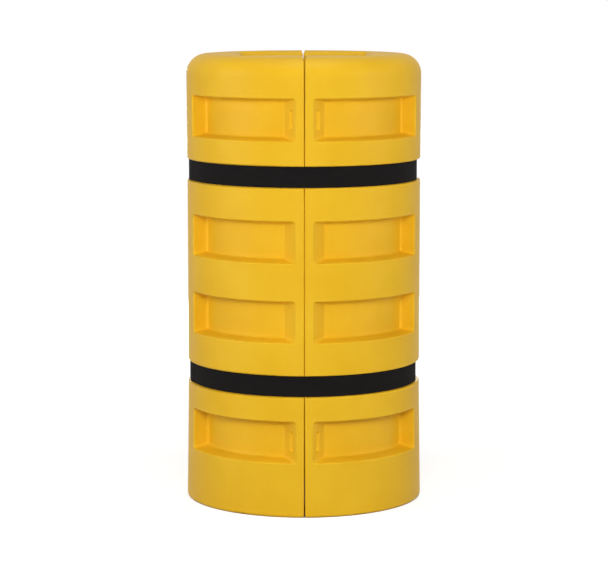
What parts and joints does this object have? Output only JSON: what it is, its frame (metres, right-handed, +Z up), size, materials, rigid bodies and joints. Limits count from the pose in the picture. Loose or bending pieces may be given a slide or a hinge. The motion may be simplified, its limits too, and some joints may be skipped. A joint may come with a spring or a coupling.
{
  "type": "column protector",
  "caption": "Round yellow impact guard for a building column: hollow moulded halves round a square shaft, closed by black hook-and-loop straps in grooves.",
  "frame": {"origin": "centre of the base, on the axis of the barrel", "axes": "+Z up along the barrel, -Y to the front seam, +X to the right half"},
  "size_m": [0.5822, 0.5822, 1.0969],
  "materials": {
    "shell": "satin moulded polyethylene",
    "plug": "matt moulded plastic",
    "webbing": "woven webbing",
    "hook_tape": "moulded nylon hooks on woven tape",
    "loop_tape": "napped nylon loops on woven tape"
  },
  "bodies": {
    "right_half": {"right_half_shell": "shell", "right_vent_plug": "plug", "upper_strap_band": "webbing", "lower_strap_band": "webbing"},
    "left_half": {"left_half_shell": "shell", "left_vent_plug": "plug"},
    "upper_arm": {"upper_strap_arm": "webbing", "upper_hook_patch": "hook_tape"},
    "upper_flap": {"upper_strap_flap": "webbing", "upper_loop_patch": "loop_tape"},
    "lower_arm": {"lower_strap_arm": "webbing", "lower_hook_patch": "hook_tape"},
    "lower_flap": {"lower_strap_flap": "webbing", "lower_loop_patch": "loop_tape"}
  },
  "joints": [
    {"name": "left_half_slide", "type": "slide", "parent": "right_half", "child": "left_half", "axis": [-1, 0, 0], "range_m": [0, 0.25]},
    {"name": "upper_arm_swing", "type": "hinge", "parent": "right_half", "child": "upper_arm", "pos_m": [0, -0.2791, 0.815], "axis": [0, 0, 1], "range_deg": [0, 115]},
    {"name": "upper_flap_swing", "type": "hinge", "parent": "right_half", "child": "upper_flap", "pos_m": [0, 0.2791, 0.815], "axis": [0, 0, -1], "range_deg": [0, 65]},
    {"name": "lower_arm_swing", "type": "hinge", "parent": "right_half", "child": "lower_arm", "pos_m": [0, -0.2791, 0.316], "axis": [0, 0, 1], "range_deg": [0, 115]},
    {"name": "lower_flap_swing", "type": "hinge", "parent": "right_half", "child": "lower_flap", "pos_m": [0, 0.2791, 0.316], "axis": [0, 0, -1], "range_deg": [0, 65]}
  ],
  "couplings": [
    {"joint": "upper_arm_swing", "follows": "left_half_slide", "rad_per_m": 8},
    {"joint": "upper_flap_swing", "follows": "left_half_slide", "rad_per_m": 4.5},
    {"joint": "lower_arm_swing", "follows": "left_half_slide", "rad_per_m": 8},
    {"joint": "lower_flap_swing", "follows": "left_half_slide", "rad_per_m": 4.5}
  ]
}
